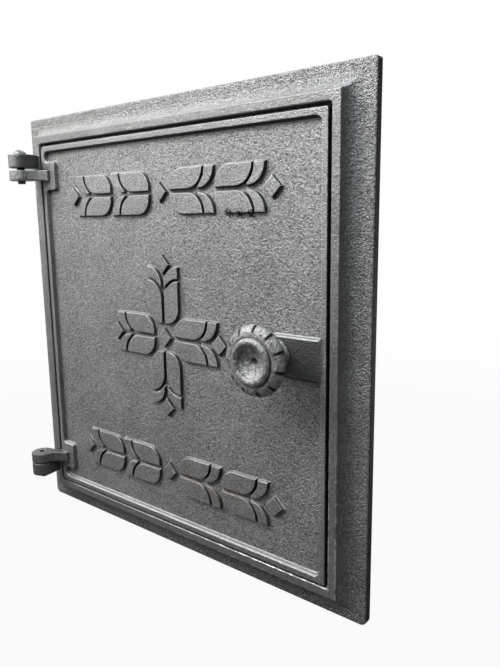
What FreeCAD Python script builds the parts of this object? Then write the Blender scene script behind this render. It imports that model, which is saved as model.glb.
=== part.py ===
import FreeCAD, Part
import os
import math
import Sketcher
from FreeCAD import Vector, Placement, Rotation

doc = FreeCAD.newDocument("flue_door")
sheet = doc.addObject("Spreadsheet::Sheet", "sizes")

# Driving sizes in millimetres and degrees, one row each
rows = [
    ("flange_half_width", 161.0),
    ("flange_half_height", 165.0),
    ("flange_thick", 5.0),
    ("flange_corner_top", 2.0),
    ("flange_corner_bottom", 4.5),
    ("flange_edge_round", 1.4),
    ("flange_side_border", 22.6),
    ("flange_end_border", 21.1),
    ("opening_corner", 2.0),
    ("lip_width", 5.8),
    ("lip_height", 8.3),
    ("lip_edge_round", 0.6),
    ("cove_step", 0.08),
    ("ledge_width", 9.4),
    ("ledge_corner", 3.0),
    ("collar_step", 4.4),
    ("collar_wall", 5.0),
    ("collar_depth", 40.0),
    ("collar_inner_corner", 1.0),
    ("anchor_hole_radius", 3.5),
    ("anchor_hole_side", 85.0),
    ("anchor_hole_back", 24.0),
    ("door_side_gap", 2.3),
    ("door_end_gap", 1.9),
    ("door_thick", 7.7),
    ("door_drop", 0.6),
    ("door_corner_left", 4.0),
    ("door_corner_right", 1.2),
    ("door_edge_round", 0.5),
    ("seat_gap", 0.5),
    ("border_width", 3.8),
    ("panel_depth", 3.0),
    ("panel_corner", 4.5),
    ("panel_draft_angle", 28.0),
    ("relief_height", 2.3),
    ("relief_draft_angle", 24.0),
    ("row_inset", 40.6),
    ("leaf_start", 10.7),
    ("leaf_length", 29.6),
    ("leaf_side", 1.6),
    ("leaf_height", 13.1),
    ("leaf_round", 11.0),
    ("groove_width", 2.4),
    ("crescent_length", 9.9),
    ("crescent_tip", 0.8),
    ("group_gap", 1.8),
    ("diamond_half", 6.3),
    ("row_diamond_past", 5.5),
    ("cross_diamond_past", 1.8),
    ("pad_sink", 1.0),
    ("hinge_pad_reach", 12.8),
    ("hinge_pad_below", 7.2),
    ("hinge_pad_above", 5.7),
    ("hinge_pad_round", 1.5),
    ("hinge_pad_flare", 3.5),
    ("handle_pad_half", 11.8),
    ("handle_pad_flare", 2.5),
    ("hinge_axis_out", 7.6),
    ("hinge_axis_rise", 12.7),
    ("hinge_eye_radius", 9.1),
    ("hinge_inset", 8.7),
    ("hinge_lug_gap", 1.4),
    ("lug_sink", 1.0),
    ("lug_edge_round", 0.8),
    ("frame_lug_thick", 10.5),
    ("frame_lug_foot_out", 15.8),
    ("frame_lug_foot_in", 1.0),
    ("door_lug_thick", 8.1),
    ("door_lug_over_lip", 2.0),
    ("door_lug_heel", 2.0),
    ("door_lug_root", 10.1),
    ("door_lug_root_rise", 3.0),
    ("door_lug_end_round", 1.8),
    ("door_lug_waist_drop", 1.9),
    ("pin_radius", 3.0),
    ("pin_running_gap", 0.08),
    ("pin_head_radius", 5.0),
    ("pin_head_height", 3.7),
    ("pin_head_brim", 0.8),
    ("upper_pin_reach", 2.4),
    ("lower_pin_short", 1.2),
    ("knob_inset", 36.1),
    ("knob_radius", 21.9),
    ("knob_height", 24.7),
    ("knob_face_fall", 4.1),
    ("knob_face_round", 6.5),
    ("knob_rim_thick", 3.3),
    ("knob_rim_taper", 1.5),
    ("knob_bevel_deep", 1.6),
    ("knob_bevel_wide", 4.3),
    ("knob_neck_radius", 9.0),
    ("knob_neck_flare", 1.5),
    ("knob_neck_foot", 3.0),
    ("knob_gap", 0.4),
    ("ring_radius", 12.2),
    ("ring_round", 2.4),
    ("dish_depth", 5.6),
    ("dish_round", 16.0),
    ("dimple_radius", 2.6),
    ("dimple_depth", 1.2),
    ("notch_count", 11),
    ("notch_half", 3.2),
    ("notch_lean_angle", 48.0),
    ("notch_inset", 2.9),
    ("notch_turn_angle", -12.0),
    ("spindle_radius", 6.0),
    ("spindle_running_gap", 0.08),
    ("spindle_square", 8.0),
    ("spindle_thread_radius", 3.9),
    ("spindle_into_knob", 14.0),
    ("spindle_past_nut", 2.6),
    ("boss_radius", 12.0),
    ("latch_gap", 0.4),
    ("latch_clearance", 0.8),
    ("latch_bar_thick", 5.0),
    ("latch_bar_half", 8.0),
    ("latch_overlap", 3.5),
    ("latch_bar_corner", 2.0),
    ("washer_radius", 8.0),
    ("washer_thick", 1.6),
    ("nut_across_flats", 13.0),
    ("nut_thick", 6.5),
]
for number, (alias, value) in enumerate(rows, start=1):
    sheet.set("A%d" % number, alias)
    sheet.set("B%d" % number, str(value))
    sheet.setAlias("B%d" % number, alias)
doc.recompute()


class Size:
    # A number with the sheet expression that drives it
    def __init__(self, value, text):
        self.value = float(value)
        self.text = text

    def __add__(self, other):
        other = as_size(other)
        return Size(self.value + other.value, "(%s + %s)" % (self.text, other.text))

    def __sub__(self, other):
        other = as_size(other)
        return Size(self.value - other.value, "(%s - %s)" % (self.text, other.text))

    def __mul__(self, other):
        other = as_size(other)
        return Size(self.value * other.value, "(%s * %s)" % (self.text, other.text))

    def __truediv__(self, other):
        other = as_size(other)
        return Size(self.value / other.value, "(%s / %s)" % (self.text, other.text))

    def __neg__(self):
        return Size(-self.value, "(0 - %s)" % self.text)

    def __radd__(self, other):
        return as_size(other) + self

    def __rsub__(self, other):
        return as_size(other) - self

    def __rmul__(self, other):
        return as_size(other) * self


def as_size(thing):
    return thing if isinstance(thing, Size) else Size(thing, repr(float(thing)))


def root(size):
    return Size(math.sqrt(size.value), "sqrt(%s)" % size.text)


def cell(alias):
    return Size(sheet.get(alias), "sizes." + alias)


def bind(target, name, size):
    setattr(target, name, as_size(size).value)
    target.setExpression(name, as_size(size).text)


def new_body(label):
    body = doc.addObject("PartDesign::Body", label)
    body.Label = label
    return body


def origin_plane(body, role):
    return [item for item in body.Origin.OriginFeatures if item.Role == role][0]


def new_sketch(body, name, role, lift):
    sketch = body.newObject("Sketcher::SketchObject", name)
    sketch.AttachmentSupport = [(origin_plane(body, role), "")]
    sketch.MapMode = "FlatFace"
    sketch.AttachmentOffset = Placement(Vector(0, 0, as_size(lift).value), Rotation())
    sketch.setExpression("AttachmentOffset.Base.z", as_size(lift).text)
    return sketch


def fix_point(sketch, geometry, end, x, y):
    for kind, size in (("DistanceX", as_size(x)), ("DistanceY", as_size(y))):
        number = sketch.addConstraint(Sketcher.Constraint(kind, -1, 1, geometry, end, size.value))
        sketch.setExpression("Constraints[%d]" % number, size.text)


def fix_radius(sketch, geometry, radius):
    number = sketch.addConstraint(Sketcher.Constraint("Radius", geometry, as_size(radius).value))
    sketch.setExpression("Constraints[%d]" % number, as_size(radius).text)


def circle(sketch, x, y, radius):
    centre = Vector(as_size(x).value, as_size(y).value, 0)
    geometry = sketch.addGeometry(Part.Circle(centre, Vector(0, 0, 1), as_size(radius).value))
    fix_point(sketch, geometry, 3, x, y)
    fix_radius(sketch, geometry, radius)


# A closed outline: each step is (x, y) to reach by a line, or (x, y, radius, turn) by an arc
# turn +1 goes anticlockwise round the arc's centre and -1 clockwise
def outline(sketch, steps):
    count = len(steps)
    for here in range(count):
        start = steps[here - 1]
        stop = steps[here]
        a = Vector(as_size(start[0]).value, as_size(start[1]).value, 0)
        b = Vector(as_size(stop[0]).value, as_size(stop[1]).value, 0)
        if len(stop) == 2:
            geometry = sketch.addGeometry(Part.LineSegment(a, b))
            first, last = 1, 2
        else:
            radius = as_size(stop[2]).value
            turn = stop[3]
            chord = b.sub(a)
            middle = a.add(b).multiply(0.5)
            rise = math.sqrt(max(radius * radius - chord.Length ** 2 / 4, 0))
            side = Vector(-chord.y, chord.x, 0).normalize().multiply(rise * turn)
            centre = middle.add(side)
            from_angle = math.atan2(a.y - centre.y, a.x - centre.x)
            to_angle = math.atan2(b.y - centre.y, b.x - centre.x)
            if turn < 0:
                from_angle, to_angle = to_angle, from_angle
            ring = Part.Circle(centre, Vector(0, 0, 1), radius)
            geometry = sketch.addGeometry(Part.ArcOfCircle(ring, from_angle, to_angle))
            first, last = (1, 2) if turn > 0 else (2, 1)
            half_turn = abs(chord.Length - 2 * radius) < 1e-6
            if not half_turn:
                fix_radius(sketch, geometry, stop[2])
            else:
                middle_x = (as_size(start[0]) + stop[0]) / 2
                middle_y = (as_size(start[1]) + stop[1]) / 2
                fix_point(sketch, geometry, 3, middle_x, middle_y)
                fix_point(sketch, geometry, last, stop[0], stop[1])
                fix_level(sketch, geometry, first, start, chord)
                continue
        fix_point(sketch, geometry, last, stop[0], stop[1])
        fix_point(sketch, geometry, first, start[0], start[1])


# Half circle's other end: one coordinate is left once its centre and one end are fixed
def fix_level(sketch, geometry, end, point, chord):
    kind, size = ("DistanceY", as_size(point[1]))
    if abs(chord.y) > abs(chord.x):
        kind, size = ("DistanceX", as_size(point[0]))
    number = sketch.addConstraint(Sketcher.Constraint(kind, -1, 1, geometry, end, size.value))
    sketch.setExpression("Constraints[%d]" % number, size.text)


# Rectangle with its four corners rounded: bottom left, bottom right, top right, top left
def rounded(sketch, left, right, low, high, corners):
    first, second, third, fourth = corners
    steps = [(left, low + first), (left + first, low, first, 1), (right - second, low)]
    steps += [(right, low + second, second, 1), (right, high - third), (right - third, high, third, 1)]
    steps += [(left + fourth, high), (left, high - fourth, fourth, 1)]
    outline(sketch, steps)


def pad(body, name, sketch, length, backward=False, draft=None):
    feature = body.newObject("PartDesign::Pad", name)
    feature.Profile = sketch
    bind(feature, "Length", length)
    feature.Reversed = backward
    if draft is not None:
        bind(feature, "TaperAngle", draft)
    body.Tip = feature
    doc.recompute()
    return feature


def pocket(body, name, sketch, length=None, draft=None, both=False, backward=False):
    feature = body.newObject("PartDesign::Pocket", name)
    feature.Profile = sketch
    if length is None:
        feature.Type = "ThroughAll"
    else:
        bind(feature, "Length", length)
    feature.Midplane = both
    feature.Reversed = backward
    if draft is not None:
        bind(feature, "TaperAngle", draft)
    body.Tip = feature
    doc.recompute()
    return feature


def mirrored(body, name, features, role):
    feature = body.newObject("PartDesign::Mirrored", name)
    feature.Originals = features
    feature.MirrorPlane = (origin_plane(body, role), [""])
    body.Tip = feature
    doc.recompute()
    return feature


# Frame casting: flat flange with the opening and the ledge that the door closes on
flange_w = cell("flange_half_width")
flange_h = cell("flange_half_height")
flange_t = cell("flange_thick")
open_w = flange_w - cell("flange_side_border")
open_h = flange_h - cell("flange_end_border")
lip_h = cell("lip_height")
top_r = cell("flange_corner_top")
low_r = cell("flange_corner_bottom")
open_r = cell("opening_corner")
ledge_w = open_w - cell("ledge_width")
ledge_h = open_h - cell("ledge_width")
ledge_r = cell("ledge_corner")
lip_front = flange_t + lip_h
cove_r = lip_h - cell("cove_step")
foot_w = open_w + cell("lip_width") + cove_r
foot_h = open_h + cell("lip_width") + cove_r

frame = new_body("frame")
plate = new_sketch(frame, "flange_outline", "XZ_Plane", 0)
rounded(plate, -flange_w, flange_w, -flange_h, flange_h, (low_r, low_r, top_r, top_r))
rounded(plate, -ledge_w, ledge_w, -ledge_h, ledge_h, (ledge_r, ledge_r, ledge_r, ledge_r))
pad(frame, "flange", plate, flange_t)

# Raised moulding round the opening, cut to a hollow cove that meets in mitres at the corners
block = new_sketch(frame, "moulding_outline", "XZ_Plane", flange_t)
outline(block, [(-foot_w, -foot_h), (foot_w, -foot_h), (foot_w, foot_h), (-foot_w, foot_h)])
rounded(block, -open_w, open_w, -open_h, open_h, (open_r, open_r, open_r, open_r))
pad(frame, "moulding", block, lip_h)
upright_cove = new_sketch(frame, "upright_cove_outline", "XY_Plane", 0)
circle(upright_cove, foot_w, -lip_front, cove_r)
circle(upright_cove, -foot_w, -lip_front, cove_r)
pocket(frame, "upright_cove", upright_cove, 2 * flange_h, both=True)
level_cove = new_sketch(frame, "level_cove_outline", "YZ_Plane", 0)
circle(level_cove, -lip_front, foot_h, cove_r)
circle(level_cove, -lip_front, -foot_h, cove_r)
pocket(frame, "level_cove", level_cove, 2 * flange_w, both=True)


def edges_at(shape, test):
    names = []
    for number, edge in enumerate(shape.Edges, start=1):
        if all(test(point) for point in edge.discretize(5)):
            names.append("Edge%d" % number)
    return names


def on_level(point, front):
    return abs(point.y + front) < 0.01


def in_box(point, half_x, half_z, slack):
    return abs(point.x) < half_x + slack and abs(point.z) < half_z + slack


def fillet(body, name, base, names, radius):
    feature = body.newObject("PartDesign::Fillet", name)
    feature.Base = (base, names)
    bind(feature, "Radius", radius)
    body.Tip = feature
    doc.recompute()
    return feature


rim = edges_at(frame.Shape, lambda p: on_level(p, lip_front.value))
fillet(frame, "lip_round", frame.Tip, rim, cell("lip_edge_round"))
outer = edges_at(
    frame.Shape,
    lambda p: on_level(p, flange_t.value) and not in_box(p, foot_w.value, foot_h.value, 1.0),
)
fillet(frame, "flange_round", frame.Tip, outer, cell("flange_edge_round"))

# Collar that goes into the masonry, with holes for anchor wires in its top and bottom walls
coll_w = open_w - cell("collar_step")
coll_h = open_h - cell("collar_step")
wall = cell("collar_wall")
coll_in = cell("collar_inner_corner")
coll_r = coll_in + wall
collar = new_sketch(frame, "collar_outline", "XZ_Plane", 0)
rim_w = coll_w + wall
rim_h = coll_h + wall
rounded(collar, -rim_w, rim_w, -rim_h, rim_h, (coll_r, coll_r, coll_r, coll_r))
rounded(collar, -coll_w, coll_w, -coll_h, coll_h, (coll_in, coll_in, coll_in, coll_in))
pad(frame, "collar", collar, cell("collar_depth"), backward=True)
anchors = new_sketch(frame, "anchor_hole_outline", "XY_Plane", 0)
circle(anchors, cell("anchor_hole_side"), cell("anchor_hole_back"), cell("anchor_hole_radius"))
circle(anchors, -cell("anchor_hole_side"), cell("anchor_hole_back"), cell("anchor_hole_radius"))
pocket(frame, "anchor_holes", anchors, 2 * flange_h, both=True)


# Where a line from a point touches a circle
def touch(point, centre, radius, side):
    dx = point[0] - centre[0]
    dy = point[1] - centre[1]
    far = dx * dx + dy * dy
    along = radius * radius / far
    across = side * radius * root(far - radius * radius) / far
    return (centre[0] + along * dx - across * dy, centre[1] + along * dy + across * dx)


# Frame's hinge lugs, the outer ones of each pair
axis_x = -open_w - cell("hinge_axis_out")
axis_y = -lip_front - cell("hinge_axis_rise")
eye = cell("hinge_eye_radius")
lug_high = open_h - cell("hinge_inset")
lug_low = lug_high - cell("frame_lug_thick")
foot_in = -open_w - cell("frame_lug_foot_in")
foot_out = -open_w - cell("frame_lug_foot_out")
sink = cell("lug_sink")
lug = new_sketch(frame, "frame_lug_outline", "XY_Plane", lug_low)
axis = (axis_x, axis_y)
eye_tip = (axis_x, axis_y - eye, eye, 1)
outer_foot = (foot_out, sink - flange_t)
inner_foot = (foot_in, -lip_front)
steps = [outer_foot, touch(outer_foot, axis, eye, 1), eye_tip, touch(inner_foot, axis, eye, -1) + (eye, 1)]
steps += [inner_foot, (foot_in, sink - flange_t)]
outline(lug, steps)
upper_lug = pad(frame, "upper_frame_lug", lug, lug_high - lug_low)
lug_bore = new_sketch(frame, "frame_lug_bore_outline", "XY_Plane", lug_low)
circle(lug_bore, axis_x, axis_y, cell("pin_radius"))
upper_bore = pocket(frame, "upper_frame_lug_bore", lug_bore, lug_high - lug_low, backward=True)
mirrored(frame, "lower_frame_lug", [upper_lug, upper_bore], "XY_Plane")


# A lug's outline on its two flat sides, as far as it stands clear of the casting
def lug_edges(shape, low, high):
    names = []
    for number, edge in enumerate(shape.Edges, start=1):
        points = edge.discretize(9)
        level = all(min(abs(abs(p.z) - low), abs(abs(p.z) - high)) < 0.01 for p in points)
        spans = [math.hypot(p.x - axis_x.value, p.y - axis_y.value) for p in points]
        outside = min(spans) > eye.value - 0.01
        reaches = min(p.y for p in points) < axis_y.value + eye.value / 2
        if level and outside and reaches:
            names.append("Edge%d" % number)
    return names


lug_rim = lug_edges(frame.Shape, lug_low.value, lug_high.value)
fillet(frame, "frame_lug_round", frame.Tip, lug_rim, cell("lug_edge_round"))

# Door casting: slab with a raised border round a sunk panel
door_w = open_w - cell("door_side_gap")
door_h = open_h - cell("door_end_gap")
left_r = cell("door_corner_left")
right_r = cell("door_corner_right")
back = flange_t + cell("seat_gap")
front = back + cell("door_thick")
border = cell("border_width")
panel = front - cell("panel_depth")
panel_w = door_w - border
panel_h = door_h - border
panel_r = cell("panel_corner")
draft = cell("panel_draft_angle")

door = new_body("door")
slab = new_sketch(door, "slab_outline", "XZ_Plane", back)
rounded(slab, -door_w, door_w, -door_h, door_h, (left_r, right_r, right_r, left_r))
pad(door, "slab", slab, front - back)
face_edges = edges_at(door.Shape, lambda p: on_level(p, front.value))
fillet(door, "door_round", door.Tip, face_edges, cell("door_edge_round"))
sunk = new_sketch(door, "panel_outline", "XZ_Plane", front)
rounded(sunk, -panel_w, panel_w, -panel_h, panel_h, (panel_r, panel_r, panel_r, panel_r))
pocket(door, "panel", sunk, cell("panel_depth"), draft=-draft)

# Hinge pads and handle pad, level with the border and flared into it
arm_high = lug_low - cell("hinge_lug_gap")
arm_low = arm_high - cell("door_lug_thick")
pad_low = arm_low - cell("hinge_pad_below")
pad_high = arm_high + cell("hinge_pad_above")
pad_end = cell("hinge_pad_reach") - panel_w
pad_r = cell("hinge_pad_round")
flare = cell("hinge_pad_flare")
run = cell("panel_depth")
edge_x = -panel_w
root_x = edge_x - cell("pad_sink")
low_end = pad_low - flare - run
high_end = pad_high + flare + run
hinge_pad = new_sketch(door, "hinge_pad_outline", "XZ_Plane", front)
steps = [(root_x, low_end), (edge_x, low_end), (edge_x, pad_low - flare)]
steps += [(edge_x + flare, pad_low, flare, -1)]
steps += [(pad_end - pad_r, pad_low), (pad_end, pad_low + pad_r, pad_r, 1), (pad_end, pad_high - pad_r)]
steps += [(pad_end - pad_r, pad_high, pad_r, 1), (edge_x + flare, pad_high)]
steps += [(edge_x, pad_high + flare, flare, -1), (edge_x, high_end), (root_x, high_end)]
outline(hinge_pad, steps)
upper_pad = pad(door, "upper_hinge_pad", hinge_pad, cell("panel_depth"), backward=True, draft=draft)
handle_pad = new_sketch(door, "handle_pad_outline", "XZ_Plane", front)
knob_x = door_w - cell("knob_inset")
grip = cell("handle_pad_half")
flare = cell("handle_pad_flare")
edge_x = panel_w
root_x = panel_w + cell("pad_sink")
far = grip + flare + run
steps = [(knob_x, grip), (knob_x, -grip, grip, 1), (edge_x - flare, -grip)]
steps += [(edge_x, -grip - flare, flare, -1), (edge_x, -far), (root_x, -far), (root_x, far), (edge_x, far)]
steps += [(edge_x, grip + flare), (edge_x - flare, grip, flare, -1)]
outline(handle_pad, steps)
pad(door, "handle_pad", handle_pad, cell("panel_depth"), backward=True, draft=draft)

# Leaf ornament: one group is two leaves and two crescents about the line of its stem
leaf_in = cell("leaf_start")
leaf_out = leaf_in + cell("leaf_length")
leaf_low = cell("leaf_side")
tall = cell("leaf_height")
leaf_high = leaf_low + tall
leaf_r = cell("leaf_round")
groove = cell("groove_width")
tip = leaf_out + cell("crescent_length")
pitch = tip - leaf_in + cell("group_gap")
relief = cell("relief_height")
relief_draft = cell("relief_draft_angle")
relief_front = panel + relief


def leaf_group(sketch, stem):
    hollow = tall + groove
    heart = leaf_out - tall
    blunt = cell("crescent_tip")
    low_tip = heart + root(hollow * hollow - (tall - blunt) * (tall - blunt))
    for side in (1, -1):
        low = stem + side * leaf_low
        high = stem + side * leaf_high
        steps = [(leaf_in, low), (heart, low), (leaf_out, high, tall, side)]
        steps += [(leaf_in + leaf_r, high), (leaf_in, high - side * leaf_r, leaf_r, side)]
        outline(sketch, steps)
        steps = [(low_tip, low), (tip - tall, low), (tip, high, tall, side)]
        steps += [(leaf_out + groove, high), (low_tip, low + side * blunt, hollow, -side)]
        outline(sketch, steps)


def diamond(sketch, x, z):
    reach = cell("diamond_half")
    outline(sketch, [(x - reach, z), (x, z - reach), (x + reach, z), (x, z + reach)])


row_z = door_h - cell("row_inset")
row_group = new_sketch(door, "row_group_outline", "XZ_Plane", relief_front)
leaf_group(row_group, row_z)
row_pad = pad(door, "row_group", row_group, relief, backward=True, draft=relief_draft)
rows_done = door.newObject("PartDesign::MultiTransform", "leaf_rows")
rows_done.Originals = [row_pad]
along = door.newObject("PartDesign::LinearPattern", "leaf_rows_along")
along.Direction = (row_group, ["H_Axis"])
bind(along, "Length", pitch)
along.Occurrences = 2
across = door.newObject("PartDesign::Mirrored", "leaf_rows_across")
across.MirrorPlane = (origin_plane(door, "YZ_Plane"), [""])
over = door.newObject("PartDesign::Mirrored", "leaf_rows_over")
over.MirrorPlane = (origin_plane(door, "XY_Plane"), [""])
rows_done.Transformations = [along, across, over]
door.Tip = rows_done
doc.recompute()

cross_group = new_sketch(door, "cross_group_outline", "XZ_Plane", relief_front)
leaf_group(cross_group, as_size(0))
diamond(cross_group, tip + cell("cross_diamond_past"), as_size(0))
cross_pad = pad(door, "cross_group", cross_group, relief, backward=True, draft=relief_draft)
arms = door.newObject("PartDesign::PolarPattern", "leaf_cross")
arms.Originals = [cross_pad]
arms.Axis = (cross_group, ["N_Axis"])
arms.Angle = 360
arms.Occurrences = 4
door.Tip = arms
doc.recompute()

gems = new_sketch(door, "diamond_outline", "XZ_Plane", relief_front)
row_end = pitch + tip + cell("row_diamond_past")
for gem_x in (-row_end, as_size(0), row_end):
    for gem_z in (row_z, -row_z):
        diamond(gems, gem_x, gem_z)
diamond(gems, as_size(0), as_size(0))
pad(door, "diamonds", gems, relief, backward=True, draft=relief_draft)

# Door's hinge lugs, the inner ones of each pair
root_x = cell("door_lug_root") - door_w
root_y = -front - cell("door_lug_root_rise")
heel = (-door_w - cell("door_lug_heel"), -lip_front - cell("door_lug_over_lip"))
end_r = cell("door_lug_end_round")
end_x = root_x - end_r
waist_drop = cell("door_lug_waist_drop")
waist_side = root(eye * eye - waist_drop * waist_drop)
waist_x = axis_x + waist_side
waist_y = axis_y - waist_drop
run_x = end_x - waist_x
run_y = root_y - waist_y
waist_r = eye * (run_x * run_x + run_y * run_y) / (2 * (run_x * waist_side - run_y * waist_drop))
arm = new_sketch(door, "door_lug_outline", "XY_Plane", arm_low)
steps = [heel, (-door_w, sink - front), (root_x, sink - front), (root_x, root_y + end_r)]
steps += [(end_x, root_y, end_r, -1), (waist_x, waist_y, waist_r, 1), (axis_x, axis_y - eye, eye, -1)]
steps += [(axis_x - eye, axis_y, eye, -1), touch(heel, axis, eye, 1) + (eye, -1)]
outline(arm, steps)
upper_arm = pad(door, "upper_door_lug", arm, arm_high - arm_low)
arm_bore = new_sketch(door, "door_lug_bore_outline", "XY_Plane", arm_low)
circle(arm_bore, axis_x, axis_y, cell("pin_radius") + cell("pin_running_gap"))
upper_arm_bore = pocket(door, "upper_door_lug_bore", arm_bore, arm_high - arm_low, backward=True)
mirrored(door, "lower_door_lug", [upper_pad, upper_arm, upper_arm_bore], "XY_Plane")
arm_rim = lug_edges(door.Shape, arm_low.value, arm_high.value)
fillet(door, "door_lug_round", door.Tip, arm_rim, cell("lug_edge_round"))

# Boss behind the door and the bore that the spindle turns in
spindle_r = cell("spindle_radius")
bar_front = cell("latch_clearance")
boss = new_sketch(door, "boss_outline", "XZ_Plane", back)
circle(boss, knob_x, as_size(0), cell("boss_radius"))
pad(door, "boss", boss, back + bar_front - cell("latch_gap"), backward=True)
bore = new_sketch(door, "spindle_bore_outline", "XZ_Plane", front)
circle(bore, knob_x, as_size(0), spindle_r + cell("spindle_running_gap"))
pocket(door, "spindle_bore", bore)
door.setExpression("Placement.Base.z", "0 - sizes.door_drop")


def place(body, x, y, z):
    for axis, size in zip("xyz", (x, y, z)):
        body.setExpression("Placement.Base." + axis, as_size(size).text)


def turned(body, name, role, steps, axis):
    sketch = new_sketch(body, name + "_outline", role, 0)
    outline(sketch, steps)
    feature = body.newObject("PartDesign::Revolution", name)
    feature.Profile = sketch
    feature.ReferenceAxis = (sketch, [axis])
    feature.Angle = 360
    body.Tip = feature
    doc.recompute()
    return feature


# Hinge pins with domed heads, fast in the frame's lugs
pin_r = cell("pin_radius")
head_r = cell("pin_head_radius")
head_h = cell("pin_head_height")
brim = cell("pin_head_brim")
dome = head_h - brim
dome_r = (head_r * head_r + dome * dome) / (2 * dome)


def hinge_pin(label, length, way):
    body = new_body(label)
    steps = [(as_size(0), -way * length), (pin_r, -way * length), (pin_r, as_size(0)), (head_r, as_size(0))]
    steps += [(head_r, way * brim), (as_size(0), way * head_h, dome_r, way)]
    turned(body, label + "_turning", "XZ_Plane", steps, "V_Axis")
    place(body, axis_x, axis_y, way * lug_high)
    return body


drop = cell("door_drop")
upper_length = lug_high - arm_low + drop + cell("upper_pin_reach")
lower_length = lug_high - arm_low - drop - cell("lower_pin_short")
upper_pin = hinge_pin("upper_hinge_pin", upper_length, 1)
lower_pin = hinge_pin("lower_hinge_pin", lower_length, -1)

# Knob: dished face with a raised ring, and lobes between notches that fall away to the rim
knob = new_body("knob")
knob_r = cell("knob_radius")
face = front + cell("knob_height")
fall = cell("knob_face_fall")
rim_back = face - fall - cell("knob_rim_thick")
knob_back = rim_back - cell("knob_bevel_deep")
ring_r = cell("ring_radius")
bead = cell("ring_round")
floor = face + bead - cell("dish_depth")
dimple_r = cell("dimple_radius")
dimple = cell("dimple_depth")
dimple_arc = (dimple_r * dimple_r + dimple * dimple) / (2 * dimple)
knob_seat = front + cell("knob_gap")
neck_r = cell("knob_neck_radius")
bowl = cell("dish_round")
steps = [(as_size(0), dimple - floor), (dimple_r, -floor, dimple_arc, -1), (ring_r - bead, -face, bowl, -1)]
steps += [(ring_r, -face - bead, bead, 1), (ring_r + bead, -face, bead, 1)]
steps += [(knob_r, fall - face, cell("knob_face_round"), 1), (knob_r - cell("knob_rim_taper"), -rim_back)]
steps += [(knob_r - cell("knob_bevel_wide"), -knob_back), (neck_r, -knob_back)]
steps += [(neck_r, -knob_seat - cell("knob_neck_foot")), (neck_r + cell("knob_neck_flare"), -knob_seat)]
steps += [(as_size(0), -knob_seat)]
turned(knob, "knob_turning", "XY_Plane", steps, "V_Axis")
notch_half = cell("notch_half")
notch_at = ring_r + bead + cell("notch_inset")
notch = new_sketch(knob, "notch_outline", "YZ_Plane", notch_at)
lean = cell("notch_lean_angle")
start = Vector(-face.value, 0, notch_at.value)
notch.AttachmentOffset = Placement(start, Rotation(Vector(0, 1, 0), lean.value))
notch.setExpression("AttachmentOffset.Base.x", (-face).text)
notch.setExpression("AttachmentOffset.Rotation.Angle", lean.text)
outline(notch, [(as_size(0), as_size(0)), (-fall, notch_half), (-fall, -notch_half)])
first_notch = pocket(knob, "first_notch", notch, knob_r, backward=True)
notches = knob.newObject("PartDesign::PolarPattern", "notches")
notches.Originals = [first_notch]
notches.Axis = (origin_plane(knob, "Y_Axis"), [""])
notches.Angle = 360
notches.Occurrences = int(cell("notch_count").value)
notches.setExpression("Occurrences", "sizes.notch_count")
knob.Tip = notches
doc.recompute()
socket = new_sketch(knob, "socket_outline", "XZ_Plane", knob_seat)
circle(socket, as_size(0), as_size(0), spindle_r)
pocket(knob, "socket", socket, cell("spindle_into_knob"), backward=True)
knob.Placement.Rotation = Rotation(Vector(0, -1, 0), cell("notch_turn_angle").value)
knob.setExpression("Placement.Rotation.Angle", "sizes.notch_turn_angle")
place(knob, knob_x, as_size(0), -drop)

# Spindle: round through the door, square through the latch bar, then a plain end for the nut
spindle = new_body("spindle")
bar_t = cell("latch_bar_thick")
bar_back = bar_front + bar_t
washer_back = bar_back + cell("washer_thick")
nut_back = washer_back + cell("nut_thick")
tail_end = nut_back + cell("spindle_past_nut")
shank = new_sketch(spindle, "shank_outline", "XZ_Plane", -bar_front)
circle(shank, as_size(0), as_size(0), spindle_r)
pad(spindle, "shank", shank, bar_front + knob_seat + cell("spindle_into_knob"))
half_square = cell("spindle_square") / 2
key = new_sketch(spindle, "key_outline", "XZ_Plane", -bar_back)
square = [(-half_square, -half_square), (half_square, -half_square)]
square += [(half_square, half_square), (-half_square, half_square)]
outline(key, square)
pad(spindle, "key", key, bar_t)
tail = new_sketch(spindle, "tail_outline", "XZ_Plane", -tail_end)
circle(tail, as_size(0), as_size(0), cell("spindle_thread_radius"))
pad(spindle, "tail", tail, tail_end - bar_back)
place(spindle, knob_x, as_size(0), -drop)

# Latch bar, hanging down when the door is free to open
latch = new_body("latch_bar")
bar_half = cell("latch_bar_half")
reach = ledge_w + cell("latch_overlap") - knob_x
bar_r = cell("latch_bar_corner")
bar = new_sketch(latch, "bar_outline", "XZ_Plane", -bar_back)
steps = [(-bar_half, bar_r - reach), (bar_r - bar_half, -reach, bar_r, 1)]
steps += [(bar_half - bar_r, -reach), (bar_half, bar_r - reach, bar_r, 1), (bar_half, as_size(0))]
steps += [(as_size(0), bar_half, bar_half, 1), (-bar_half, as_size(0), bar_half, 1)]
outline(bar, steps)
outline(bar, square)
pad(latch, "bar", bar, bar_t)
place(latch, knob_x, as_size(0), -drop)

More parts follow.
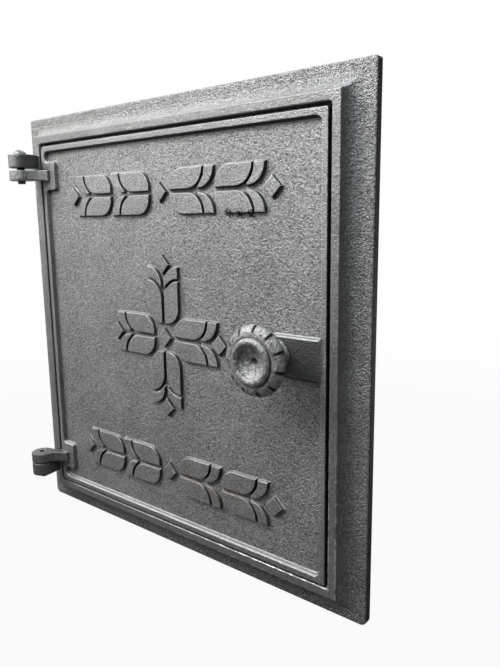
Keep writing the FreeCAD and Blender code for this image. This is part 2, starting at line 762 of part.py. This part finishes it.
# Washer and nut that hold the latch bar on the spindle
thread_r = cell("spindle_thread_radius")
washer = new_body("latch_washer")
ring = new_sketch(washer, "washer_outline", "XZ_Plane", -washer_back)
circle(ring, as_size(0), as_size(0), cell("washer_radius"))
circle(ring, as_size(0), as_size(0), thread_r)
pad(washer, "washer_ring", ring, cell("washer_thick"))
place(washer, knob_x, as_size(0), -drop)
nut = new_body("latch_nut")
hexagon = new_sketch(nut, "nut_outline", "XZ_Plane", -nut_back)
flat = cell("nut_across_flats") / 2
corner = flat * (2 / math.sqrt(3))
steps = [(corner, as_size(0)), (corner / 2, flat), (-corner / 2, flat)]
steps += [(-corner, as_size(0)), (-corner / 2, -flat), (corner / 2, -flat)]
outline(hexagon, steps)
circle(hexagon, as_size(0), as_size(0), thread_r)
pad(nut, "nut_block", hexagon, cell("nut_thick"))
place(nut, knob_x, as_size(0), -drop)
doc.recompute()

# Every object is sound before anything is written
for item in doc.Objects:
    if "Invalid" in item.State or "Error" in item.State:
        raise RuntimeError("not sound: " + item.Name)
bodies = [frame, door, upper_pin, lower_pin, knob, spindle, latch, washer, nut]
os.makedirs("parts", exist_ok=True)
for body in bodies:
    shape = body.Shape
    if shape.isNull() or not shape.isValid() or len(shape.Solids) != 1:
        raise RuntimeError("bad shape: " + body.Label)
    print(body.Label, round(shape.Volume, 1), shape.BoundBox)
    shape.exportStep("parts/" + body.Label + ".step")
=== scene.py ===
import bpy
import numpy as np
from mathutils import Matrix

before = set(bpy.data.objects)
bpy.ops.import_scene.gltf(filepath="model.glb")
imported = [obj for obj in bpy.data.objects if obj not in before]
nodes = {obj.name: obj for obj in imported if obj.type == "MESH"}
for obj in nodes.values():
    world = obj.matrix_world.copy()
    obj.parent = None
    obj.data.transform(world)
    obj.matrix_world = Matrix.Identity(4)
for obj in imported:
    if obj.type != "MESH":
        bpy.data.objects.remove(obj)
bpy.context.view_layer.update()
print("frame loaded:", len(nodes), "castings and fittings")


class Wire:
    # wraps one socket, so that a mask or a height reads as a plain sum
    def __init__(self, tree, socket):
        self.tree = tree
        self.socket = socket

    # any node: its type, then its settings, then the values or links of its sockets
    def node(self, kind, settings=None, inputs=None, output=0):
        made = self.tree.nodes.new(kind)
        for name, value in (settings or {}).items():
            setattr(made, name, value)
        for key, value in (inputs or {}).items():
            if isinstance(value, Wire):
                self.tree.links.new(value.socket, made.inputs[key])
            else:
                made.inputs[key].default_value = value
        return Wire(self.tree, made.outputs[output]) if made.outputs else None

    def sum(self, operation, first, second):
        return self.node("ShaderNodeMath", {"operation": operation}, {0: first, 1: second})

    # a sum of this value alone, such as a root
    def alone(self, operation):
        return self.node("ShaderNodeMath", {"operation": operation}, {0: self})

    def __add__(self, other):
        return self.sum("ADD", self, other)

    def __radd__(self, other):
        return self.sum("ADD", other, self)

    def __sub__(self, other):
        return self.sum("SUBTRACT", self, other)

    def __rsub__(self, other):
        return self.sum("SUBTRACT", other, self)

    def __mul__(self, other):
        return self.sum("MULTIPLY", self, other)

    def __rmul__(self, other):
        return self.sum("MULTIPLY", other, self)

    def lesser(self, other):
        return self.sum("MINIMUM", self, other)

    def greater(self, other):
        return self.sum("MAXIMUM", self, other)

    # smooth step from 0 at low to 1 at high, where low may be the larger one
    def rise(self, low, high):
        ends = {"Value": self, "From Min": low, "From Max": high}
        return self.node("ShaderNodeMapRange", {"interpolation_type": "SMOOTHSTEP"}, ends)

    # the colour goes from first to second as this value goes from 0 to 1
    def tint(self, first, second):
        mix = {"data_type": "RGBA", "clamp_factor": True}
        return self.node("ShaderNodeMix", mix, {0: self, 6: first, 7: second}, 2)

    # one coordinate of a vector
    def part(self, axis):
        return self.node("ShaderNodeSeparateXYZ", None, {0: self}, axis)

    def noise(self, size, detail, rough):
        spots = {"Vector": self, "Scale": 1 / size, "Detail": detail, "Roughness": rough}
        return self.node("ShaderNodeTexNoise", None, spots)

    # distance to a point, measured on the object
    def far(self, point):
        apart = {0: self, 1: point}
        return self.node("ShaderNodeVectorMath", {"operation": "DISTANCE"}, apart, "Value")


def grey(level, warm=0.0):
    return (level * (1 + warm), level, level * (1 - warm), 1)


def newMaterial(name):
    material = bpy.data.materials.new(name)
    material.use_nodes = True
    material.node_tree.nodes.clear()
    tree = material.node_tree
    place = Wire(tree, tree.nodes.new("ShaderNodeTexCoord").outputs["Object"])
    return material, place


def closeMaterial(place, shader):
    place.node("ShaderNodeOutputMaterial", None, {"Surface": shader})


# what all the castings share; a span is where a mask starts and where it is full
castPlan = dict(
    lumpDetail=(3.0, 0.6), sandDetail=(2.0, 0.5), cloudDetail=(3.0, 0.55), maskSamples=8,
    ledgeSpan=(0.3, 0.75), hangSpan=(-0.3, -0.7), rightSpan=(0.5, 0.9),
    frontSpan=(-0.82, -0.6), backSpan=(0.6, 0.2), upRightSpan=(0.6, 0.3), ledgeClear=0.9, ledgeOpen=0.85,
    edgeSpan=(0.006, 0.08), wearSpan=(0.2, 0.5),
    cloudSpan=(0.3, 0.7), pitSpan=(0.5, 0.38), speckSpan=(0.52, 0.64),
    rubLift=1.25, speckLift=2.0, darkWarm=0.03, paleWarm=0.02, grooveWarm=0.05, sandRough=0.25, edgePolish=0.12,
)


# rounded edges: how far the softened normal leans away from the face
def edgeMask(place, soft, span):
    flat = place.node("ShaderNodeNewGeometry", None, None, "Normal")
    same = place.node("ShaderNodeVectorMath", {"operation": "DOT_PRODUCT"}, {0: soft, 1: flat}, "Value")
    return (1 - same).rise(*span)


# open faces 1, corners and grooves 0
def openMask(place, samples, reach, span):
    room = place.node("ShaderNodeAmbientOcclusion", {"samples": samples}, {"Distance": reach}, "AO")
    return room.rise(*span)


# one sand-cast skin: raw at the back of rawSpan, dressed smoother in front of it
def ironSkin(place, look, cast=castPlan):
    raw = place.part("Y").rise(*look["rawSpan"])
    lumps = place.noise(look["lumpSize"], *cast["lumpDetail"])
    sand = place.noise(look["sandSize"], *cast["sandDetail"])
    cloud = place.noise(look["cloudSize"], *cast["cloudDetail"])
    bumps = lumps * look["lumpShare"] + sand * (1 - look["lumpShare"])
    coarse = raw * (1 - look["dressed"]) + look["dressed"]
    # which way the face looks: up, down, right, or steep to the front
    facing = place.node("ShaderNodeTexCoord", None, None, "Normal")
    across, out, up = (facing.part(axis) for axis in "XYZ")
    ledge = up.rise(*cast["ledgeSpan"])
    steep = out.rise(*cast["frontSpan"]) * out.rise(*cast["backSpan"])
    steep = steep * (1 - ledge * across.rise(*cast["upRightSpan"]) * cast["ledgeClear"])
    openness = openMask(place, cast["maskSamples"], look["openReach"], look["openSpan"])
    soft = place.node("ShaderNodeBevel", {"samples": cast["maskSamples"]}, {"Radius": look["edgeWidth"]})
    edge = edgeMask(place, soft, cast["edgeSpan"]) * openness
    # clouded iron, then rubbed faces, pits, specks, painted shade in grooves, painted light and shade on
    # ledges, and worn edges
    dark, pale = grey(look["dark"], cast["darkWarm"]), grey(look["pale"], cast["paleWarm"])
    shade = cloud.rise(*cast["cloudSpan"]).tint(dark, pale)
    shade = ((1 - raw) * look["rubbed"]).tint(shade, grey(look["pale"] * cast["rubLift"]))
    pits = bumps.rise(*cast["pitSpan"]) * look["pit"] * coarse
    shade = pits.tint(shade, grey(look["groove"]))
    specks = bumps.rise(*cast["speckSpan"]) * look["speck"] * coarse
    shade = specks.tint(shade, grey(look["pale"] * cast["speckLift"]))
    # painted shade: corners and grooves found by occlusion are painted dark, less so on faces that look up
    grooves = (1 - openness) * (1 - ledge * cast["ledgeOpen"])
    shade = grooves.tint(shade, grey(look["groove"], cast["grooveWarm"]))
    # painted light and shade: faces that look up are painted towards a set tone, darker on the door and lighter
    # on the frame
    shade = (ledge * look["ledgePaintedShare"]).tint(shade, grey(look["ledgePaintedTone"]))
    worn = edge * look["wear"] * lumps.rise(*cast["wearSpan"])
    shade = worn.tint(shade, grey(look["bright"]))
    rough = look["rough"] + (sand - 0.5) * cast["sandRough"]
    rough = rough - edge * cast["edgePolish"] - (1 - raw) * look["sheen"]
    return dict(
        shade=shade, rough=rough, height=bumps * coarse, soft=soft, edge=edge, ledge=ledge, steep=steep,
        hang=up.rise(*cast["hangSpan"]), right=across.rise(*cast["rightSpan"]),
    )


# one more coat: the skin takes the colour where the mask is 1
def paint(skin, mask, colour):
    skin["shade"] = mask.tint(skin["shade"], colour)


def closeIron(place, look, skin):
    relief = {"Strength": 1.0, "Distance": look["grain"], "Height": skin["height"], "Normal": skin["soft"]}
    sockets = {
        "Base Color": skin["shade"], "Roughness": skin["rough"], "Metallic": look["metal"],
        "Normal": place.node("ShaderNodeBump", None, relief),
    }
    closeMaterial(place, place.node("ShaderNodeBsdfPrincipled", None, sockets))


def plainMaterial(name, look):
    material, place = newMaterial(name)
    closeIron(place, look, ironSkin(place, look))
    return material


def dress(node, material):
    mesh = nodes[node].data
    mesh.materials.clear()
    mesh.materials.append(material)


# door casting: raw panel, dressed border and ornament, painted shade on the steep walls
doorLook = dict(
    lumpSize=0.0012, sandSize=0.0007, cloudSize=0.035, lumpShare=0.6, grain=0.0014, dressed=0.8,
    dark=0.352, pale=0.428, groove=0.022, bright=0.9, pit=0.6, speck=0.45, rubbed=0.1, wear=0.8,
    ledgePaintedTone=0.15, ledgePaintedShare=0.5, openReach=0.0035, openSpan=(0.3, 0.92), edgeWidth=0.0008,
    rough=0.5, sheen=0.05, metal=0.85, rawSpan=(-0.0119, -0.0104),
    # walls with painted shade, and ledges with painted highlight lines
    behindLugs=(-0.014, -0.0136), leafSpan=(0.112, 0.11), wallShade=0.85, thinWallShade=0.5, edgeClear=0.5,
    lineOut=(0.094, 0.092), lineUp=(0.131, 0.129), lineFront=(-0.0118, -0.0126), lineFoot=(-0.0113, -0.0105),
    lineHighlightShare=0.45,
    # lugs and handle pad
    lugDepth=(-0.0136, -0.0142), lugLow=(-0.106, -0.11), lugShadowTone=0.1, lugShadowShare=0.55,
    padMiddle=-0.0006, padStart=(0.094, 0.098), padEnd=(0.1365, 0.1315), padHalf=(0.0138, 0.0132),
    padDepth=(-0.0106, -0.0112), padShadowTone=0.07, padShadowShare=0.8,
    footHalf=(0.0154, 0.0138), footLow=(-0.006, -0.01), footEnd=(0.1325, 0.131), footDepth=(-0.0114, -0.0108),
    footShadowShare=0.6,
    # scab, rust and fleck
    scabs=((0.0625, -0.0105, 0.086), (0.0715, -0.0105, 0.086), (0.0805, -0.0105, 0.085)),
    scabReach=(0.0075, 0.0), scabShare=0.8, scabSpan=(0.42, 0.55), scabCover=0.9,
    crumbNoise=(0.0016, 3.0, 0.6), crumbShare=1.8, crumbHeight=1.5, crumbSpan=(0.56, 0.66),
    rust=(0.3, 0.215, 0.15, 1), rustTop=(-0.08, -0.1), rustEnd=(-0.128, -0.124), rustLeft=(-0.03, 0.01),
    rustDepth=(-0.0108, -0.0114), rustNoise=(0.014, 3.0, 0.6), rustSpan=(0.4, 0.6),
    rustFace=0.35, rustShare=0.5,
    fleck=(-0.0577, -0.0103, -0.1321), fleckReach=(0.002, 0.0004), fleckShare=0.9, tan=(0.62, 0.4, 0.25, 1),
)


def doorMaterial(look):
    material, place = newMaterial("door_cast_iron")
    skin = ironSkin(place, look)
    x, y, z = (place.part(axis) for axis in "XYZ")
    wide, high = x.alone("ABSOLUTE"), z.alone("ABSOLUTE")
    # painted shade: walls are painted near black on the ornament and where they face down, more thinly
    # elsewhere
    behindLugs = y.rise(*look["behindLugs"])
    full = wide.rise(*look["leafSpan"]).greater(skin["hang"])
    cover = full * (look["wallShade"] - look["thinWallShade"]) + look["thinWallShade"]
    walls = skin["steep"] * behindLugs * cover
    paint(skin, walls * (1 - skin["edge"] * look["edgeClear"]), grey(look["groove"]))
    # painted highlight: ledges off the ornament are painted bright along their front edge and their foot
    leafy = wide.rise(*look["lineOut"]) * high.rise(*look["lineUp"])
    line = y.rise(*look["lineFront"]).greater(y.rise(*look["lineFoot"])) * (1 - leafy) * behindLugs
    paint(skin, line * skin["ledge"] * look["lineHighlightShare"], grey(look["bright"]))
    # painted shade: the lower lug is painted darker than the upper one
    lowLugShade = y.rise(*look["lugDepth"]) * z.rise(*look["lugLow"])
    paint(skin, lowLugShade * look["lugShadowShare"] * (1 - skin["edge"]), grey(look["lugShadowTone"]))
    # painted shadow: the handle pad, which lies in the knob's shadow, is painted darker than the panel round it
    height = (z - look["padMiddle"]).alone("ABSOLUTE")
    start = x.rise(*look["padStart"])
    pad = start * height.rise(*look["padHalf"]) * y.rise(*look["padDepth"]) * x.rise(*look["padEnd"])
    paint(skin, pad * (1 - skin["edge"].greater(skin["ledge"])) * look["padShadowShare"], grey(look["padShadowTone"]))
    # painted shadow: a dark band along the pad's foot
    foot = height.rise(*look["footHalf"]) * z.rise(*look["footLow"]) * start
    foot = foot * x.rise(*look["footEnd"]) * y.rise(*look["footDepth"])
    paint(skin, foot * look["footShadowShare"], grey(look["groove"]))
    # ragged casting scab under one leaf
    scab = place.far(look["scabs"][0]).rise(*look["scabReach"])
    for spot in look["scabs"][1:]:
        scab = scab.greater(place.far(spot).rise(*look["scabReach"]))
    crumbs = place.noise(*look["crumbNoise"])
    scab = (scab * look["scabShare"] + (crumbs - 0.5) * look["crumbShare"]).rise(*look["scabSpan"])
    skin["height"] = skin["height"] + scab * crumbs * look["crumbHeight"]
    crumbShade = crumbs.rise(*look["crumbSpan"]).tint(grey(look["groove"]), grey(look["bright"]))
    paint(skin, scab * look["scabCover"], crumbShade)
    # brown bloom on the edges of the lowest row, and one tan fleck
    low = z.rise(*look["rustTop"]) * z.rise(*look["rustEnd"])
    low = low * x.rise(*look["rustLeft"]) * y.rise(*look["rustDepth"])
    rims = (skin["edge"] + skin["ledge"] + look["rustFace"]).lesser(1.0)
    bloom = place.noise(*look["rustNoise"]).rise(*look["rustSpan"]) * low * rims
    paint(skin, bloom * look["rustShare"], look["rust"])
    paint(skin, place.far(look["fleck"]).rise(*look["fleckReach"]) * look["fleckShare"], look["tan"])
    closeIron(place, look, skin)
    return material


dress("door", doorMaterial(doorLook))
print("door dressed")

# frame casting: raw flange, dressed lip, and a brown rim with painted shade on its sides
frameLook = dict(
    lumpSize=0.0014, sandSize=0.0008, cloudSize=0.03, lumpShare=0.6, grain=0.0015, dressed=0.5,
    dark=0.315, pale=0.382, groove=0.022, bright=0.8, pit=0.5, speck=0.4, rubbed=0.05, wear=0.5,
    ledgePaintedTone=0.5, ledgePaintedShare=0.2, openReach=0.0035, openSpan=(0.1, 0.75), edgeWidth=0.0008,
    rough=0.52, sheen=0.05, metal=0.85, rawSpan=(-0.0125, -0.0065),
    rimWide=(0.1605, 0.1609), rimHigh=(0.1645, 0.1649), rimShade=(0.09, 0.074, 0.058, 1), rimShare=0.85,
    lipWide=0.1442, lipHigh=0.1497, outerSpan=(-0.0013, -0.0004), lipDepth=(-0.0122, -0.0128),
    openWide=0.1384, openHigh=0.1439, innerSpan=(0.0012, 0.0003), cornerLean=0.6, cornerSpan=(0.1, 0.2),
    chipNoise=(0.005, 4.0, 0.7), chipSpan=(0.45, 0.55), chipShade=0.9, chipShare=0.9,
    lugDepth=(-0.014, -0.0146), lugLow=(-0.116, -0.12), lugShadowTone=0.1, lugShadowShare=0.6,
)


def frameMaterial(look):
    material, place = newMaterial("frame_cast_iron")
    skin = ironSkin(place, look)
    x, y, z = (place.part(axis) for axis in "XYZ")
    wide, high = x.alone("ABSOLUTE"), z.alone("ABSOLUTE")
    # outer rim of the flange is dark and a little brown, but not on top: brown edge colour, and painted shade
    # on the sides
    rim = wide.rise(*look["rimWide"]).greater(high.rise(*look["rimHigh"]) * (1 - skin["ledge"]))
    paint(skin, rim * look["rimShare"], look["rimShade"])
    # lip is chipped to bright metal along its edges, most of all at the lower right
    outer = (wide - look["lipWide"]).greater(high - look["lipHigh"]).rise(*look["outerSpan"])
    inner = (wide - look["openWide"]).greater(high - look["openHigh"]).rise(*look["innerSpan"])
    corner = (x * look["cornerLean"] - z).rise(*look["cornerSpan"]) * y.rise(*look["lipDepth"])
    chip = place.noise(*look["chipNoise"]).rise(*look["chipSpan"]) * outer.greater(inner) * corner
    paint(skin, chip * look["chipShare"], grey(look["chipShade"]))
    # painted shade: lugs are painted dark on their right-facing side, and the lower one all over
    lowLugShade = z.rise(*look["lugLow"]) * (1 - skin["edge"])
    lug = y.rise(*look["lugDepth"]) * skin["right"].greater(lowLugShade)
    paint(skin, lug * look["lugShadowShare"], grey(look["lugShadowTone"]))
    closeIron(place, look, skin)
    return material


dress("frame", frameMaterial(frameLook))
print("frame dressed")

# knob: coarser casting, all of it raw
knobLook = dict(
    lumpSize=0.0024, sandSize=0.001, cloudSize=0.008, lumpShare=0.7, grain=0.0014, dressed=1.0,
    dark=0.35, pale=0.47, groove=0.03, bright=0.8, pit=0.45, speck=0.25, rubbed=0.0, wear=0.4,
    ledgePaintedTone=0.5, ledgePaintedShare=0.0, openReach=0.0025, openSpan=(0.5, 0.95), edgeWidth=0.0004,
    rough=0.55, sheen=0.0, metal=0.75, rawSpan=(-0.2, -0.1),
    axis=(0.1, 0.0, -0.0006), notches=11, turn=2.304, notchWidth=(0.66, 0.95), notchOut=(0.0155, 0.0185),
    notchDepth=(-0.028, -0.031), notchShadeShare=0.85, hubSpan=(0.0032, 0.00128), hubShadeShare=0.7,
)


def knobMaterial(look):
    material, place = newMaterial("knob_cast_iron")
    skin = ironSkin(place, look)
    spot = place.node("ShaderNodeVectorMath", {"operation": "SUBTRACT"}, {0: place, 1: look["axis"]})
    across, up = spot.part("X"), spot.part("Z")
    radius = (across * across + up * up).alone("SQRT")
    # painted shade: the notches and the middle of the dish are painted dark
    beat = (place.sum("ARCTAN2", up, across) * look["notches"] + look["turn"]).alone("COSINE")
    notch = beat.rise(*look["notchWidth"]) * radius.rise(*look["notchOut"])
    notch = notch * place.part("Y").rise(*look["notchDepth"])
    paint(skin, notch * look["notchShadeShare"], grey(look["groove"]))
    paint(skin, radius.rise(*look["hubSpan"]) * look["hubShadeShare"], grey(look["groove"]))
    closeIron(place, look, skin)
    return material


dress("knob", knobMaterial(knobLook))
print("knob dressed")

# pins: dull drawn steel, with a painted highlight on the heads
pinLook = dict(
    knobLook, dark=0.1, pale=0.16, groove=0.02, bright=0.4, grain=0.0003, rough=0.42,
    headSpan=(0.1354, 0.136), headHighlightTone=0.3, headWarm=0.06, headHighlightShare=0.9,
)


def pinMaterial(look):
    material, place = newMaterial("pin_dull_steel")
    skin = ironSkin(place, look)
    # painted highlight: the pin heads are painted lighter than the rest
    head = place.part("Z").alone("ABSOLUTE").rise(*look["headSpan"])
    paint(skin, head * look["headHighlightShare"], grey(look["headHighlightTone"], look["headWarm"]))
    closeIron(place, look, skin)
    return material


pinSteel = pinMaterial(pinLook)
dress("upper_hinge_pin", pinSteel)
dress("lower_hinge_pin", pinSteel)
print("pins dressed")

# latch: cast bar, bright spindle, washer and nut
barLook = dict(frameLook, dressed=1.0, grain=0.0009, rawSpan=(-0.2, -0.1))
steelLook = dict(
    knobLook, dark=0.45, pale=0.53, groove=0.12, grain=0.0001, pit=0.1, speck=0.1, rough=0.34, metal=0.95,
)
dress("latch_bar", plainMaterial("latch_cast_iron", barLook))
latchSteel = plainMaterial("latch_bright_steel", steelLook)
for fitting in ("spindle", "latch_washer", "latch_nut"):
    dress(fitting, latchSteel)
print("latch dressed")


# rays from the eye, and rays that come by a shiny or clear surface
def rayMasks(place):
    seen = place.node("ShaderNodeLightPath", None, None, "Is Camera Ray")
    rays = seen.socket.node.outputs
    shiny, clear = (Wire(place.tree, rays[kind]) for kind in ("Is Glossy Ray", "Is Transmission Ray"))
    return seen, shiny.greater(clear)


# floor: a flat grid, white to the eye, that keeps the shadow near the object
floorPlan = dict(
    half=3.0, cells=8, level=-0.1655, shade=0.14,
    keepsShadow=0.05, shadowSpan=(1.1, 0.35), mirrorSpan=(0.15, 0.6),
)


def makeFloor(plan):
    row = plan["cells"] + 1
    across = np.linspace(-plan["half"], plan["half"], row)
    u, v = np.meshgrid(across, across, indexing="ij")
    points = np.stack([u, v, np.full_like(u, plan["level"])], -1).reshape(-1, 3)
    corner = (np.arange(plan["cells"])[:, None] * row + np.arange(plan["cells"])).reshape(-1)
    faces = np.stack([corner, corner + row, corner + row + 1, corner + 1], -1)
    mesh = bpy.data.meshes.new("pale_floor")
    mesh.from_pydata(points.tolist(), [], faces.tolist())
    floor = bpy.data.objects.new("pale_floor", mesh)
    bpy.context.scene.collection.objects.link(floor)
    material, place = newMaterial("pale_floor")
    seen, shiny = rayMasks(place)
    pale = seen.greater(shiny * place.part("Y").rise(*plan["mirrorSpan"]))
    shadow = place.far((0.0, 0.0, plan["level"])).rise(*plan["shadowSpan"]) * plan["keepsShadow"]
    matte = place.node("ShaderNodeBsdfDiffuse", None, {"Color": grey(plan["shade"])})
    white = place.node("ShaderNodeEmission", None, {"Color": grey(1.0), "Strength": 1.0})
    mix = {0: pale * (1 - shadow), 1: matte, 2: white}
    closeMaterial(place, place.node("ShaderNodeMixShader", None, mix))
    mesh.materials.append(material)


makeFloor(floorPlan)

# studio: white to the eye and dim otherwise, but reflections find it bright behind and a little at the right
roomPlan = dict(
    fill=0.015, front=0.025, right=0.14, behind=1.0, tone=(1.0, 0.95, 0.87, 1),
    rightSpan=(0.3, 0.8), behindDepth=(0.1, 0.6), behindSide=(0.1, -0.5),
)


def makeRoom(plan):
    world = bpy.data.worlds.new("studio")
    bpy.context.scene.world = world
    world.use_nodes = True
    tree = world.node_tree
    tree.nodes.clear()
    place = Wire(tree, tree.nodes.new("ShaderNodeTexCoord").outputs["Generated"])
    seen, shiny = rayMasks(place)
    x, y = place.part("X"), place.part("Y")
    behind = y.rise(*plan["behindDepth"]) * x.rise(*plan["behindSide"]) * (plan["behind"] - plan["front"])
    right = x.rise(*plan["rightSpan"]) * (plan["right"] - plan["front"])
    level = plan["fill"] + shiny * (right + behind + (plan["front"] - plan["fill"]))
    tone = seen.tint(plan["tone"], grey(1.0))
    sky = place.node("ShaderNodeBackground", None, {"Color": tone, "Strength": level.greater(seen)})
    place.node("ShaderNodeOutputWorld", None, {"Surface": sky})


makeRoom(roomPlan)

# lamps: a wide soft one high on the left, close enough to fade down the door
# side fills under the knob, top and rim cool the upper edges, back lights the side in the masonry
lampPlan = dict(
    window=dict(
        at=(-0.48, -0.55, 0.77), aim=(0.0, 0.0, 0.0), width=0.7, height=0.5,
        power=11.8, tone=(0.99, 0.995, 0.99),
    ),
    side=dict(
        at=(-0.8, -0.5, 0.22), aim=(0.0, 0.0, 0.0), width=0.5, height=0.4, power=1.2, tone=(0.99, 0.995, 0.99),
    ),
    top=dict(
        at=(0.12, -0.38, 0.76), aim=(0.02, 0.0, 0.05), width=0.4, height=0.2, power=3.2, tone=(0.8, 0.92, 1.0),
    ),
    back=dict(
        at=(-0.45, 0.95, 0.55), aim=(0.0, 0.0, 0.0), width=0.9, height=0.6, power=14.0, tone=(1.0, 1.0, 1.0),
    ),
    rim=dict(
        at=(-0.15, 0.3, 0.75), aim=(0.0, 0.0, 0.165), width=0.6, height=0.2, power=1.2, tone=(0.86, 0.95, 1.0),
    ),
)


# a lamp or a camera looks against its back axis
def setAxes(thing, right, up, back, at):
    axes = np.eye(4)
    axes[:3] = np.stack([right, up, back, at], -1)
    thing.matrix_world = Matrix(axes.tolist())


def makeLamp(name, plan):
    data = bpy.data.lights.new(name, "AREA")
    data.shape = "RECTANGLE"
    data.size = plan["width"]
    data.size_y = plan["height"]
    data.energy = plan["power"]
    data.color = plan["tone"]
    lamp = bpy.data.objects.new(name, data)
    bpy.context.scene.collection.objects.link(lamp)
    back = np.subtract(plan["at"], plan["aim"])
    back = back / np.linalg.norm(back)
    right = np.cross((0, 0, 1), back)
    right = right / np.linalg.norm(right)
    setAxes(lamp, right, np.cross(back, right), back, plan["at"])
    lamp.visible_camera = False


for name, plan in lampPlan.items():
    makeLamp(name + "_lamp", plan)
print("studio lit")

# camera where the photograph was taken from
cameraPlan = dict(
    at=(0.32333, -0.31298, 0.08160), right=(0.77757, 0.62866, -0.01333),
    up=(-0.10322, 0.14852, 0.98351), back=(0.62027, -0.76337, 0.18038),
    lens=33.58, sensor=36.0, nearest=0.01,
)


def makeCamera(plan):
    data = bpy.data.cameras.new("camera")
    data.sensor_width = plan["sensor"]
    data.lens = plan["lens"]
    data.clip_start = plan["nearest"]
    camera = bpy.data.objects.new("camera", data)
    bpy.context.scene.collection.objects.link(camera)
    setAxes(camera, plan["right"], plan["up"], plan["back"], plan["at"])
    bpy.context.scene.camera = camera


makeCamera(cameraPlan)
bpy.context.scene.view_settings.view_transform = "Standard"
